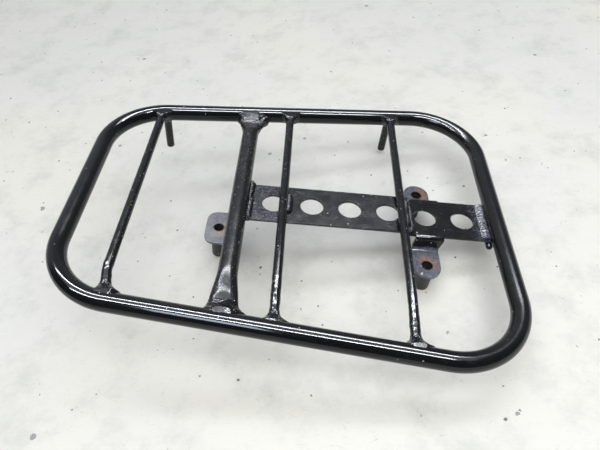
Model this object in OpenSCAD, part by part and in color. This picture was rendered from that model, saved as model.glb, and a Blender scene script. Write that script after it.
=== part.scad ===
// Motorcycle luggage rack: a bent tube loop with cross bars, a perforated centre
// strap lapped onto a winged rear bracket, a front tab, spacers and two hook pegs.
// Millimetres, Z up, origin under the loop's middle, level with the front spacer's foot.
// The narrow end (-X) is called the front, +Y is the right hand side.
// Heights in the source are from the loop's centre plane, and standing() lifts it all.

/* [Outer loop] */
// Length between the centre lines of the two end tubes
loop_length = 368.8; // [300:0.2:450]
// Width between the side tube centre lines, taken at mid length
loop_width = 265.2; // [200:0.2:340]
// Angle by which each side tube opens out toward the rear
side_angle = 6.22; // [0:0.02:10]
// Outer diameter of the loop tube and of the cross tube
tube_d = 15.9; // [12:0.1:22]
// Wall thickness of both tubes
tube_wall = 1.6; // [1:0.1:3]
// Centre line radius of the four corner bends
bend_r = 58; // [40:1:80]

/* [Cross bars] */
// Diameter of the three thin rods
rod_d = 8; // [6:0.1:12]
// Distance of the front rod from the front end tube's centre line
front_rod_gap = 45.8; // [30:0.2:75]
// Position of the cross tube along the rack
cross_tube_x = -47.2; // [-80:0.2:-30]
// Distance of the middle rod from the cross tube
middle_rod_gap = 39; // [28:0.2:60]
// Distance of the rear rod from the rear end tube's centre line
rear_rod_gap = 86.4; // [70:0.2:110]
// Height of the rods above the loop's centre plane
rod_z = 3; // [1:0.1:3.8]
// Distance from the loop at which the front rod starts to bend down on the left
front_drop_run = 24; // [12:0.5:30]
// Downward bend angle of the front rod
front_drop_angle = 16; // [4:1:20]
// Bend radius of the front rod
front_drop_r = 25; // [15:1:60]
// Sideways roll of the front rod's bend toward the rear
front_drop_roll = 26; // [0:1:60]
// Distance from the loop at which the other two rods start to curve down
long_drop_run = 72; // [40:1:100]
// Downward angle at which the other two rods meet the loop
long_drop_angle = 10; // [4:0.5:12]
// Radius of that long curve
long_drop_r = 400; // [200:10:500]

/* [Flattened tube ends] */
// Width of the flattened cross tube end where it meets the loop
flare_w = 23; // [18:0.5:30]
// Height of the flattened end
flare_h = 8.4; // [6:0.1:14]
// How far the flattened ends sit below the centre plane
flare_drop = 1.8; // [0:0.1:4]
// Length of the flattening on the left side
flare_len_left = 40; // [25:1:60]
// Length of the flattening on the right side
flare_len_right = 27; // [20:1:60]
// Length of the fully flat part next to the loop
flat_len = 7; // [4:0.5:12]

/* [Perforated strap] */
// Width of the strap across the rack
strap_w = 43.5; // [35:0.5:60]
// Thickness of the strap
strap_t = 2.6; // [2:0.1:4]
// Diameter of the round lightening holes
strap_hole_d = 20.8; // [15:0.1:26]
// Distance of the first hole from the cross tube's centre line
first_hole_gap = 30.5; // [24:0.1:40]
// Distance of the last hole from the rear end tube's centre line
last_hole_gap = 29.5; // [24:0.1:40]
// Number of round holes, of which the last two are in the rear bracket
strap_holes = 6; // [3:1:8]
// How far the strap's rear end stops ahead of the next hole's centre
strap_end_gap = 14.6; // [12:0.1:18]
// How far the strap lies over the rear bracket
strap_lap = 8; // [4:0.5:12]

/* [Mounting brackets] */
// Sheet thickness of both brackets
plate_t = 2.6; // [2:0.1:4]
// Diameter of the bolt holes
bolt_d = 9; // [6:0.1:11]
// Inner bend radius of the brackets
fold_r = 3; // [2:0.1:5]
// Distance of the front bolt hole from the cross tube's centre line
front_bolt_gap = 19.8; // [15:0.1:28]
// Height of the front tab's upper face
front_tab_z = -39.5; // [-50:0.5:-25]
// Width of the front tab
front_tab_w = 39.5; // [30:0.5:43]
// Distance from the front bolt to the end of the tab
front_tab_reach = 12.2; // [10:0.1:20]
// Corner radius of the front tab
front_tab_r = 10; // [4:0.5:12]
// Distance of the rear bolt holes from the rear end tube's centre line
rear_bolt_gap = 63.4; // [54:0.1:66]
// Distance of the rear bolt holes from the middle
rear_bolt_y = 44; // [40:0.5:55]
// Height of the rear tabs' upper face
rear_tab_z = -18; // [-30:0.5:-17]
// Width of the rear tabs
rear_tab_w = 24; // [18:0.5:26]
// Width of the rear bracket's side walls at the top
rear_top_w = 25; // [22:0.5:36]
// How far those walls sit behind the bolt holes
rear_top_shift = 1.9; // [0:0.1:4]
// Distance from the middle to the walls' outer faces
rear_top_y = 25.5; // [24:0.1:30]

/* [Spacers and pegs] */
// Outer diameter of the three spacers
spacer_d = 15; // [12:0.5:18]
// Height of the front spacer's lower face
front_foot_z = -75; // [-85:0.5:-55]
// Height of the rear spacers' lower face
rear_foot_z = -44.5; // [-60:0.5:-35]
// Edge chamfer of the spacers
spacer_chamfer = 0.7; // [0:0.1:1.5]
// Diameter of the hook pegs
peg_d = 8; // [5:0.1:10]
// Distance of the front peg behind the front rod
front_peg_gap = 2.4; // [0:0.1:12]
// Distance of the rear peg ahead of the rear rod
rear_peg_gap = 0.6; // [0:0.1:12]
// Height of the peg tips
peg_tip_z = -43; // [-60:0.5:-25]
// Rounding of the peg tips
peg_round = 1.2; // [0.5:0.1:2.5]
// Diameter of the cross pin under the strap's rear end
pin_d = 6; // [4:0.1:8]
// Distance of the cross pin from the rear end tube's centre line
pin_back = 7.4; // [6:0.1:10]
// How far the cross pin reaches past each strap edge
pin_past = 5; // [0:0.1:8]

/* [Weld beads] */
// Radius of a rod's left weld where it meets the loop
collar_r = 9.6; // [7:0.1:12]
// Radius of a rod's right weld where it meets the loop
right_collar_r = 7.6; // [6:0.1:10]
// Length of a rod weld along the rod
collar_len = 8; // [5:0.1:12]
// Radius of the beads over the cross tube's flat ends
cross_bead_r = 3.2; // [2:0.1:4]
// Radius of the bead at the strap's front end
front_bead_r = 3.6; // [2:0.1:4]
// Width of the weld cap at the strap's rear end
rear_cap_w = 10.8; // [6:0.1:14]
// Height of that weld cap above the bracket
rear_cap_h = 2.5; // [1:0.1:3.5]
// Radius of the short beads beside the rods on the strap
crossing_bead_r = 3.4; // [1.5:0.1:4]
// Half length of the bead beside the middle rod
middle_bead_half = 8; // [4:0.5:18]
// Half length of the bead beside the rear rod
rod_bead_half = 13; // [4:0.5:18]
// Radius of the bead along the strap's rear end
lap_bead_r = 2.6; // [1.5:0.1:3]
// Radius of the bead between the cross pin and the rear end tube
pin_bead_r = 3; // [2:0.1:4]

/* [View] */
// Which sub-part to draw

/* [Hidden] */
$fn = 64;
tube_r = tube_d / 2;
rod_r = rod_d / 2;
bore_d = tube_d - 2 * tube_wall;
front_cx = -loop_length / 2 + bend_r;
rear_cx = loop_length / 2 - bend_r;
front_rod_x = -loop_length / 2 + front_rod_gap;
middle_rod_x = cross_tube_x + middle_rod_gap;
rear_rod_x = loop_length / 2 - rear_rod_gap;
front_peg_x = front_rod_x + front_peg_gap;
rear_peg_x = rear_rod_x - rear_peg_gap;
front_bolt_x = cross_tube_x - front_bolt_gap;
rear_bolt_x = loop_length / 2 - rear_bolt_gap;
strap_hole_x = cross_tube_x + first_hole_gap;
strap_hole_pitch = (loop_length / 2 - last_hole_gap - strap_hole_x) / max(strap_holes - 1, 1);
strap_end = strap_hole_x + (strap_holes - 2) * strap_hole_pitch - strap_end_gap;
strap_top = rod_z - rod_r;
strap_under = strap_top - strap_t;
plate_under = strap_under - plate_t;
cut = 1;
clear = 20;
lap = 1;
step = 0.02;
bend_lap = 2;
bend_step = 0.12;

// Centre line distance of a side tube from the middle, at position x.
function side_y(x) = loop_width / 2 + tan(side_angle) * x;
// Middle of a corner bend across the rack.
function bend_y(x) = side_y(x) - bend_r / cos(side_angle);
// Distance from the middle to the loop's inner face, at position x.
function inner_y(x) = side_y(x) - tube_r / cos(side_angle);

front_cy = bend_y(front_cx);
rear_cy = bend_y(rear_cx);
side_len = (rear_cx - front_cx) / cos(side_angle);

// How a rod's left end comes down to the loop: run, angle, radius and sideways roll.
front_drop = [front_drop_run, front_drop_angle, front_drop_r, front_drop_roll];
long_drop = [long_drop_run, long_drop_angle, long_drop_r, 0];
// Length of the straight end past the bend.
function drop_end(drop) = (drop[0] - drop[2] * sin(drop[1])) / cos(drop[1]);

// Half of the loop as a round bar of diameter d. The bends are a hair thinner than
// the straights and run a little way into them, so that the two always join.
module loop_half(d) {
    over = atan(bend_lap / bend_r);
    translate([front_cx, front_cy, 0]) rotate([0, 0, side_angle]) {
        translate([0, bend_r, 0]) rotate([0, 90, 0]) cylinder(d = d, h = side_len);
        rotate([0, 0, 90 - over]) rotate_extrude(angle = 90 - side_angle + 2 * over)
            translate([bend_r, 0]) circle(d = d - 2 * bend_step);
        translate([side_len, 0, 0]) rotate([0, 0, -side_angle - over])
            rotate_extrude(angle = 90 + side_angle + 2 * over)
                translate([bend_r, 0]) circle(d = d - 2 * bend_step);
    }
}

// Round bar following the whole loop.
module loop_bar(d) {
    loop_half(d);
    mirror([0, 1, 0]) loop_half(d);
    translate([-loop_length / 2, -front_cy, 0])
        rotate([-90, 0, 0]) cylinder(d = d, h = 2 * front_cy);
    translate([loop_length / 2, -rear_cy, 0])
        rotate([-90, 0, 0]) cylinder(d = d, h = 2 * rear_cy);
}

module outer_loop() {
    color([0.06, 0.06, 0.07]) difference() {
        loop_bar(tube_d);
        loop_bar(bore_d);
    }
}

// Piece of the loop on the side s that shapes the end of what is welded at x.
module loop_cut(x, s) {
    mirror([0, s > 0 ? 0 : 1, 0]) translate([front_cx, front_cy, 0]) {
        if (x < front_cx - 5) {
            rotate([0, 0, 70]) rotate_extrude(angle = 110)
                translate([bend_r, 0]) circle(d = tube_d);
        } else {
            rotate([0, 0, side_angle]) translate([0, bend_r, 0]) rotate([0, 90, 0])
                cylinder(d = tube_d, h = side_len);
        }
    }
}

module rear_tube_cut() {
    translate([loop_length / 2, -rear_cy, 0])
        rotate([-90, 0, 0]) cylinder(d = tube_d, h = 2 * rear_cy);
}

// Places its children at the bent left end of a rod, +Z along the rod toward the loop.
module left_end(x, drop) {
    translate([x, -inner_y(x) + drop[0], rod_z]) rotate([0, -drop[3], 0])
        translate([0, -drop[2] * sin(drop[1]), -drop[2] * (1 - cos(drop[1]))])
            rotate([90 + drop[1], 0, 0]) children();
}

// Round bar across the rack, straight on the right and bent down on the left.
module rod_bar(x, drop) {
    y_bend = -inner_y(x) + drop[0];
    translate([x, y_bend - lap / 2, rod_z]) rotate([-90, 0, 0])
        cylinder(r = rod_r, h = side_y(x) - y_bend + lap / 2);
    translate([x, y_bend, rod_z]) rotate([0, -drop[3], 0]) translate([0, 0, -drop[2]])
        rotate([0, -90, 180]) rotate_extrude(angle = drop[1])
            translate([drop[2], 0]) circle(r = rod_r + step);
    left_end(x, drop) translate([0, 0, -lap / 2])
        cylinder(r = rod_r, h = drop_end(drop) + tube_r + lap / 2);
}

module rod_between(x, drop) {
    color([0.10, 0.10, 0.11]) difference() {
        rod_bar(x, drop);
        loop_cut(x, -1);
        loop_cut(x, 1);
    }
}

module front_rod() { rod_between(front_rod_x, front_drop); }
module middle_rod() { rod_between(middle_rod_x, long_drop); }
module rear_rod() { rod_between(rear_rod_x, long_drop); }

// Flat section of a pressed tube end, width along X.
module flat_section(w, h) {
    square([w - h, h], center = true);
    for (k = [-1, 1]) translate([k * (w - h) / 2, 0]) circle(d = h);
}

// Pressed flat part of the cross tube next to the loop, on the right side.
module flat_end() {
    y0 = inner_y(cross_tube_x) - flat_len;
    translate([cross_tube_x, y0, -flare_drop]) rotate([-90, 0, 0])
        linear_extrude(side_y(cross_tube_x) - y0) flat_section(flare_w, flare_h);
}

// Transition from the round tube to the flat end, faceted.
flare_steps = 10;
flare_sides = 40;
function ease(t) = t * t * (3 - 2 * t);
function part_pow(v, e) = sign(v) * pow(abs(v), e);
function flare_ring(t, y) = [
    for (i = [0 : flare_sides - 1])
        let (k = ease(t), a = 360 * i / flare_sides, e = 2 / (2 + 1.1 * k),
             hw = (tube_r - 0.03) * (1 - k) + (flare_w / 2 - 0.15) * k,
             hh = (tube_r - 0.03) * (1 - k) + (flare_h / 2 - 0.15) * k)
        [hw * part_pow(cos(a), e), y, hh * part_pow(sin(a), e) - flare_drop * k]
];

module flare(len) {
    y0 = inner_y(cross_tube_x) - len - lap;
    y1 = inner_y(cross_tube_x) - flat_len + lap;
    pts = [for (j = [0 : flare_steps]) each flare_ring(j / flare_steps, y0 + (y1 - y0) * j / flare_steps)];
    last = flare_steps * flare_sides;
    translate([cross_tube_x, 0, 0]) polyhedron(points = pts, faces = concat(
        [for (j = [0 : flare_steps - 1], i = [0 : flare_sides - 1])
            let (a = j * flare_sides + i, b = j * flare_sides + (i + 1) % flare_sides)
            [a, b, b + flare_sides]],
        [for (j = [0 : flare_steps - 1], i = [0 : flare_sides - 1])
            let (a = j * flare_sides + i, b = j * flare_sides + (i + 1) % flare_sides)
            [a, b + flare_sides, a + flare_sides]],
        [[for (i = [flare_sides - 1 : -1 : 0]) i]],
        [[for (i = [0 : flare_sides - 1]) last + i]]
    ));
}

module cross_tube() {
    y_left = inner_y(cross_tube_x) - flare_len_left;
    y_right = inner_y(cross_tube_x) - flare_len_right;
    color([0.06, 0.06, 0.07]) difference() {
        union() {
            translate([cross_tube_x, -y_left, 0]) rotate([-90, 0, 0])
                cylinder(d = tube_d, h = y_left + y_right);
            flare(flare_len_right);
            flat_end();
            mirror([0, 1, 0]) {
                flare(flare_len_left);
                flat_end();
            }
        }
        loop_cut(cross_tube_x, -1);
        loop_cut(cross_tube_x, 1);
        translate([cross_tube_x, -y_left + 3 * lap, 0]) rotate([-90, 0, 0])
            cylinder(d = bore_d, h = y_left + y_right - 6 * lap);
    }
}

// Straight part of the cross tube, used to shape what is welded to it.
module cross_bar_cut() {
    translate([cross_tube_x, -strap_w, 0]) rotate([-90, 0, 0])
        cylinder(d = tube_d, h = 2 * strap_w);
}

module strap_blank() {
    translate([cross_tube_x, -strap_w / 2, strap_under])
        cube([strap_end - cross_tube_x, strap_w, strap_t]);
}

// Round holes through the strap and the rear bracket, from the first to the last given.
module round_holes(first, last) {
    for (i = [first : last])
        translate([strap_hole_x + i * strap_hole_pitch, 0, plate_under - cut])
            cylinder(d = strap_hole_d, h = strap_t + plate_t + 2 * cut);
}

module perforated_strap() {
    color([0.08, 0.08, 0.09]) difference() {
        strap_blank();
        cross_bar_cut();
        round_holes(0, strap_holes - 3);
    }
}

// Quarter ring of sheet; qx and qy pick the quadrant it fills.
module sheet_bend(r, t, qx, qy) {
    intersection() {
        difference() {
            circle(r = r + t);
            circle(r = r);
        }
        translate([qx > 0 ? 0 : -(r + t + cut), qy > 0 ? 0 : -(r + t + cut)])
            square(r + t + cut);
    }
}

// Front tab: a leg down from the cross tube, folded forward into a flat tab.
module front_mount_tab() {
    leg_x = cross_tube_x - plate_t / 2;
    tab_x = front_bolt_x - front_tab_reach;
    color([0.36, 0.38, 0.42]) difference() {
        intersection() {
            translate([0, front_tab_w / 2, 0]) rotate([90, 0, 0])
                linear_extrude(front_tab_w) {
                    translate([leg_x, front_tab_z + fold_r])
                        square([plate_t, -front_tab_z - fold_r]);
                    translate([leg_x - fold_r, front_tab_z + fold_r])
                        sheet_bend(fold_r, plate_t, 1, -1);
                    translate([tab_x, front_tab_z - plate_t])
                        square([leg_x - fold_r - tab_x, plate_t]);
                }
            translate([0, 0, front_tab_z - 2 * plate_t]) linear_extrude(-front_tab_z + 3 * plate_t) {
                for (s = [-1, 1])
                    translate([tab_x + front_tab_r, s * (front_tab_w / 2 - front_tab_r)])
                        circle(r = front_tab_r);
                translate([tab_x, -(front_tab_w / 2 - front_tab_r)])
                    square([front_tab_r, front_tab_w - 2 * front_tab_r]);
                translate([tab_x + front_tab_r, -front_tab_w / 2 - cut])
                    square([cross_tube_x + plate_t - tab_x, front_tab_w + 2 * cut]);
            }
        }
        cross_bar_cut();
        translate([front_bolt_x, 0, front_tab_z - plate_t - cut])
            cylinder(d = bolt_d, h = plate_t + 2 * cut);
    }
}

// Section of the rear bracket's walls and tabs across the rack, right half.
module hat_half() {
    top_r = fold_r * 0.4;
    wall_y = rear_top_y - plate_t;
    tip_y = rear_bolt_y + rear_tab_w / 2 + cut;
    translate([0, plate_under]) square([wall_y - top_r, plate_t]);
    translate([wall_y - top_r, plate_under - top_r])
        sheet_bend(top_r, plate_t, 1, 1);
    translate([wall_y, rear_tab_z + fold_r])
        square([plate_t, plate_under - top_r - rear_tab_z - fold_r]);
    translate([rear_top_y + fold_r, rear_tab_z + fold_r])
        sheet_bend(fold_r, plate_t, -1, -1);
    translate([rear_top_y + fold_r, rear_tab_z - plate_t])
        square([tip_y - rear_top_y - fold_r, plate_t]);
}

// Walls and tabs of the rear bracket, joined by a strip of its top.
module bracket_wings() {
    low_x = rear_bolt_x - rear_tab_w / 2;
    high_x = rear_bolt_x + rear_tab_w / 2;
    top_low_x = rear_bolt_x + rear_top_shift - rear_top_w / 2;
    top_high_x = rear_bolt_x + rear_top_shift + rear_top_w / 2;
    tip_y = rear_bolt_y + 1;
    intersection() {
        translate([top_low_x - cut, 0, 0]) rotate([90, 0, 90])
            linear_extrude(rear_top_w + 2 * cut) {
                hat_half();
                mirror([1, 0]) hat_half();
            }
        translate([0, rear_bolt_y * 2, 0]) rotate([90, 0, 0])
            linear_extrude(rear_bolt_y * 4) polygon([
                [top_low_x, cut], [top_low_x, plate_under], [low_x, rear_tab_z + fold_r / 2],
                [low_x, rear_tab_z * 2], [high_x, rear_tab_z * 2],
                [high_x, rear_tab_z + fold_r / 2], [top_high_x, plate_under], [top_high_x, cut]
            ]);
        translate([0, 0, rear_tab_z * 2]) linear_extrude(-rear_tab_z * 3) {
            for (s = [-1, 1]) translate([rear_bolt_x, s * tip_y]) circle(r = rear_tab_w / 2);
            translate([low_x, -tip_y]) square([rear_tab_w, 2 * tip_y]);
            translate([top_low_x - cut, -rear_top_y - fold_r])
                square([rear_top_w + 2 * cut, 2 * rear_top_y + 2 * fold_r]);
        }
    }
}

// Rear bracket: a flat plate from under the strap to the rear end tube, with two
// wings folded down into tabs.
module rear_mount_bracket() {
    plate_x = strap_end - strap_lap;
    color([0.20, 0.21, 0.24]) difference() {
        union() {
            bracket_wings();
            translate([plate_x, -strap_w / 2, plate_under])
                cube([loop_length / 2 - plate_x, strap_w, plate_t]);
        }
        round_holes(strap_holes - 2, strap_holes - 1);
        rear_tube_cut();
        for (s = [-1, 1]) translate([rear_bolt_x, s * rear_bolt_y, rear_tab_z - plate_t - cut])
            cylinder(d = bolt_d, h = plate_t + 2 * cut);
    }
}

// Spacer standing between two heights, with a through hole and chamfered edges.
module spacer(x, y, z_low, z_high) {
    c = spacer_chamfer;
    color([0.17, 0.16, 0.15]) translate([x, y, z_low]) difference() {
        union() {
            translate([0, 0, c]) cylinder(d = spacer_d, h = z_high - z_low - 2 * c);
            cylinder(d1 = spacer_d - 2 * c, d2 = spacer_d, h = c);
            translate([0, 0, z_high - z_low - c])
                cylinder(d1 = spacer_d, d2 = spacer_d - 2 * c, h = c);
        }
        translate([0, 0, -cut]) cylinder(d = bolt_d, h = z_high - z_low + 2 * cut);
    }
}

module front_spacer() {
    spacer(front_bolt_x, 0, front_foot_z, front_tab_z - plate_t);
}
module rear_spacer_left() {
    spacer(rear_bolt_x, -rear_bolt_y, rear_foot_z, rear_tab_z - plate_t);
}
module rear_spacer_right() {
    spacer(rear_bolt_x, rear_bolt_y, rear_foot_z, rear_tab_z - plate_t);
}

// Peg hanging from the right side tube, with a rounded tip.
module peg_body(x) {
    translate([x, side_y(x), peg_tip_z]) rotate_extrude() difference() {
        union() {
            translate([0, peg_round]) square([peg_d / 2, -peg_tip_z - peg_round]);
            square([peg_d / 2 - peg_round, peg_round + cut]);
            translate([peg_d / 2 - peg_round, peg_round]) circle(r = peg_round);
        }
        translate([-peg_d, -cut]) square([peg_d, -peg_tip_z + 2 * cut]);
    }
}

module hook_peg(x) {
    color([0.08, 0.08, 0.09]) difference() {
        peg_body(x);
        loop_cut(x, 1);
    }
}

module front_hook_peg() { hook_peg(front_peg_x); }
module rear_hook_peg() { hook_peg(rear_peg_x); }

pin_x = loop_length / 2 - pin_back;
pin_z = plate_under - pin_d / 2;
module pin_body() {
    half = strap_w / 2 + pin_past - pin_d / 2;
    translate([pin_x, -half, pin_z]) rotate([-90, 0, 0]) cylinder(d = pin_d, h = 2 * half);
    for (s = [-1, 1]) translate([pin_x, s * half, pin_z]) sphere(d = pin_d);
}

module rear_cross_pin() {
    color([0.08, 0.08, 0.09]) pin_body();
}

// Flared weld of foot radius r around a rod end, +Z toward the loop, whose surface
// is at height h.
module collar(r, h) {
    knee = collar_len * 0.42;
    waist = rod_r + (r - rod_r) * 0.42;
    rotate_extrude() polygon([
        [0, h - collar_len], [rod_r + 0.4, h - collar_len], [waist, h - knee],
        [r, h], [r, h + tube_r], [0, h + tube_r]
    ]);
}

// Slab that keeps a weld within the height of the loop tube.
module weld_band(x, y, low, high) {
    translate([x - clear, y - clear, low]) cube([2 * clear, 2 * clear, high - low]);
}

module rod_weld_left(x, drop) {
    color([0.09, 0.09, 0.10]) difference() {
        intersection() {
            left_end(x, drop) collar(collar_r, drop_end(drop));
            weld_band(x, -inner_y(x), -tube_r * 0.96, tube_r * 0.55);
        }
        rod_bar(x, drop);
        loop_cut(x, -1);
    }
}

module rod_weld_right(x) {
    color([0.09, 0.09, 0.10]) difference() {
        intersection() {
            translate([x, inner_y(x) - 0.5, rod_z]) rotate([-90, 0, 0]) collar(right_collar_r, 0);
            weld_band(x, inner_y(x), -tube_r * 0.55, tube_r * 0.97);
        }
        translate([x, 0, rod_z]) rotate([-90, 0, 0]) cylinder(r = rod_r, h = side_y(x));
        loop_cut(x, 1);
    }
}

module front_rod_weld_left() { rod_weld_left(front_rod_x, front_drop); }
module front_rod_weld_right() { rod_weld_right(front_rod_x); }
module middle_rod_weld_left() { rod_weld_left(middle_rod_x, long_drop); }
module middle_rod_weld_right() { rod_weld_right(middle_rod_x); }
module rear_rod_weld_left() { rod_weld_left(rear_rod_x, long_drop); }
module rear_rod_weld_right() { rod_weld_right(rear_rod_x); }

// Bead over the flattened end of the cross tube, on the right side.
module cross_weld() {
    half = flare_w / 2 - 1;
    color([0.09, 0.09, 0.10]) difference() {
        translate([cross_tube_x, inner_y(cross_tube_x) + 0.6, flare_h / 2 - flare_drop])
            rotate([0, 90, side_angle]) {
                translate([0, 0, -half]) cylinder(r = cross_bead_r, h = 2 * half);
                for (k = [-1, 1]) translate([0, 0, k * half]) sphere(r = cross_bead_r);
            }
        flat_end();
        loop_cut(cross_tube_x, 1);
    }
}

module cross_tube_weld_left() { mirror([0, 1, 0]) cross_weld(); }
module cross_tube_weld_right() { cross_weld(); }

// Round bead along Y with tapered ends.
module bead(x, y0, y1, z, r) {
    tip = r * 0.8;
    run = y1 - y0;
    translate([x, y0 - tip, z]) rotate([-90, 0, 0]) rotate_extrude() polygon([
        [0, 0], [r * 0.5, 0], [r, tip], [r, tip + run], [r * 0.5, run + 2 * tip], [0, run + 2 * tip]
    ]);
}

module strap_front_weld() {
    half = strap_w / 2 + 0.6;
    color([0.09, 0.09, 0.10]) difference() {
        bead(cross_tube_x + tube_r + 0.6, -half, half, strap_top - 0.8, front_bead_r);
        cross_bar_cut();
        translate([cross_tube_x, -strap_w, strap_top - clear]) cube([clear, 2 * strap_w, clear]);
    }
}

// Short bead on the strap behind a rod.
module crossing_weld(x, half) {
    color([0.09, 0.09, 0.10]) difference() {
        bead(x + rod_r, -half, half, strap_top + 0.4, crossing_bead_r);
        translate([x, -strap_w, rod_z]) rotate([-90, 0, 0]) cylinder(r = rod_r, h = 2 * strap_w);
        translate([x - clear, -strap_w, strap_top - clear]) cube([2 * clear, 2 * strap_w, clear]);
    }
}

module strap_middle_weld() { crossing_weld(middle_rod_x, middle_bead_half); }
module strap_rod_weld() { crossing_weld(rear_rod_x, rod_bead_half); }

// Bead between the strap's rear end and the bracket under it.
module strap_lap_weld() {
    half = strap_w / 2 - lap_bead_r - 0.4;
    color([0.09, 0.09, 0.10]) difference() {
        bead(strap_end, -half, half, strap_under + 0.3, lap_bead_r);
        strap_blank();
        translate([strap_end - clear, -strap_w, strap_under - clear])
            cube([2 * clear, 2 * strap_w, clear]);
        translate([strap_end - clear, -strap_w, strap_top]) cube([2 * clear, 2 * strap_w, clear]);
        translate([strap_end - clear, -strap_w, strap_under - cut])
            cube([clear, 2 * strap_w, clear]);
    }
}

// Low wide weld cap over the bracket's rear end.
module bracket_rear_weld() {
    cap_r = (rear_cap_w * rear_cap_w / 4 + rear_cap_h * rear_cap_h) / (2 * rear_cap_h);
    cap_x = loop_length / 2 - tube_r - rear_cap_w * 0.22;
    color([0.16, 0.17, 0.20]) difference() {
        translate([cap_x, -strap_w / 2 + 0.6, strap_under + rear_cap_h - cap_r])
            rotate([-90, 0, 0]) cylinder(r = cap_r, h = strap_w - 1.2);
        translate([cap_x - cap_r, -strap_w, strap_under - 2 * cap_r])
            cube([2 * cap_r, 2 * strap_w, 2 * cap_r]);
        rear_tube_cut();
    }
}

module front_tab_weld() {
    half = front_tab_w / 2 - 3;
    r = 2.6;
    x = cross_tube_x - plate_t / 2;
    color([0.09, 0.09, 0.10]) difference() {
        bead(x - 0.6, -half, half, -tube_r - 0.3, r);
        cross_bar_cut();
        translate([x, -strap_w, -2 * clear]) cube([clear, 2 * strap_w, 2 * clear]);
    }
}

// Ring weld between a peg and the underside of the side tube, kept below the rod welds.
module peg_weld(x) {
    ring = 1.8;
    r = peg_d / 2;
    color([0.09, 0.09, 0.10]) difference() {
        translate([x, side_y(x), -tube_r - ring])
            cylinder(r1 = r + 0.3, r2 = r + ring + 0.4, h = ring + 1.6);
        translate([x, side_y(x), peg_tip_z]) cylinder(r = r, h = -peg_tip_z);
        loop_cut(x, 1);
    }
}

module front_peg_weld() { peg_weld(front_peg_x); }
module rear_peg_weld() { peg_weld(rear_peg_x); }

// Bead between the cross pin and the underside of the rear end tube.
module cross_pin_weld() {
    half = strap_w / 2 - 4;
    color([0.09, 0.09, 0.10]) difference() {
        translate([pin_x + pin_d * 0.55, -half, pin_z + 0.4]) rotate([-90, 0, 0])
            cylinder(r = pin_bead_r, h = 2 * half);
        translate([pin_x, -strap_w, pin_z]) rotate([-90, 0, 0])
            cylinder(d = pin_d, h = 2 * strap_w);
        rear_tube_cut();
        translate([pin_x - clear, -strap_w, plate_under]) cube([2 * clear, 2 * strap_w, clear]);
    }
}

// Lifts the rack until the front spacer stands at height zero.
module standing() {
    translate([0, 0, -front_foot_z]) children();
}

standing() {
    outer_loop();
    front_rod();
    cross_tube();
    middle_rod();
    rear_rod();
    perforated_strap();
    front_mount_tab();
    rear_mount_bracket();
    front_spacer();
    rear_spacer_left();
    rear_spacer_right();
    front_hook_peg();
    rear_hook_peg();
    rear_cross_pin();
    front_rod_weld_left();
    front_rod_weld_right();
    cross_tube_weld_left();
    cross_tube_weld_right();
    middle_rod_weld_left();
    middle_rod_weld_right();
    rear_rod_weld_left();
    rear_rod_weld_right();
    strap_front_weld();
    strap_middle_weld();
    strap_rod_weld();
    strap_lap_weld();
    bracket_rear_weld();
    front_tab_weld();
    front_peg_weld();
    rear_peg_weld();
    cross_pin_weld();
}
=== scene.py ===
import math

import bmesh
import bpy
from mathutils import Matrix, Vector, noise


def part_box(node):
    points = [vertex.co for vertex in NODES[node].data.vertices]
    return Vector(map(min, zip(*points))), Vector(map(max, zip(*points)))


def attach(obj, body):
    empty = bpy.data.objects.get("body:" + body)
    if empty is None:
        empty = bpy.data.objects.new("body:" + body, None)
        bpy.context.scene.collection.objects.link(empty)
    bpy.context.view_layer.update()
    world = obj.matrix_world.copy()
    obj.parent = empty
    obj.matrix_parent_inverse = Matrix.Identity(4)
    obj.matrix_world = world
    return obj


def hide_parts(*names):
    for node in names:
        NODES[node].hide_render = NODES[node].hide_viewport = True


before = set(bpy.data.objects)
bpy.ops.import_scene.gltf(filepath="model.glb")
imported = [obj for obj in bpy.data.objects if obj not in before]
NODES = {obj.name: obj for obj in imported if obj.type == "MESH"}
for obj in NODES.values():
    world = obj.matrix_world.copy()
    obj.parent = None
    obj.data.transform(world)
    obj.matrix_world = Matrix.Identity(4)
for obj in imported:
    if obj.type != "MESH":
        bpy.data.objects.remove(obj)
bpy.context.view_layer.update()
MM = 0.001


def box_mm(node):
    """Lowest and highest corner of a solid, in millimetres."""
    low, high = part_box(node)
    return Vector(low) / MM, Vector(high) / MM


def middle_mm(node):
    """Middle of a solid's box, in millimetres."""
    low, high = box_mm(node)
    return (low + high) / 2


# Sizes of the rack, in millimetres. Heights are counted from the loop's middle plane.
LOOP_LOW, LOOP_HIGH = box_mm("outer_loop")
TUBE_R = (LOOP_HIGH.z - LOOP_LOW.z) / 2
MIDDLE_Z = (LOOP_HIGH.z + LOOP_LOW.z) / 2
LOOP_LENGTH = LOOP_HIGH.x - LOOP_LOW.x - 2 * TUBE_R
LOOP_WIDTH = 265.2
SIDE_ANGLE = math.radians(6.22)
BEND_R = 58
ROD_R = 4
ROD_Z = 3
CROSS_X = -47.2
FLARE_W = 23
FLARE_H = 8.4
FLARE_DROP = 1.8
FLARE_LEFT = 40
FLARE_RIGHT = 27
FLAT_LEN = 7

# How much slimmer than the sizes above the smooth pieces are drawn, the loop only sideways.
LOOP_EASE = 0.16
FLARE_EASE = 0.15
ROD_EASE = 0.05

# How far short of a side tube's centre line the cross tube and the rods' right ends stop.
END_GAP = 1

# How far the pressed ends' outline leans from an ellipse toward a diamond, which keeps their tops crowned.
PRESSED_CROWN = 0.12

# Share of the loop tube's radius by which the rods' left ends and the weld collars run into it.
ROD_SINK = 0.8
COLLAR_SINK = 0.62

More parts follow.
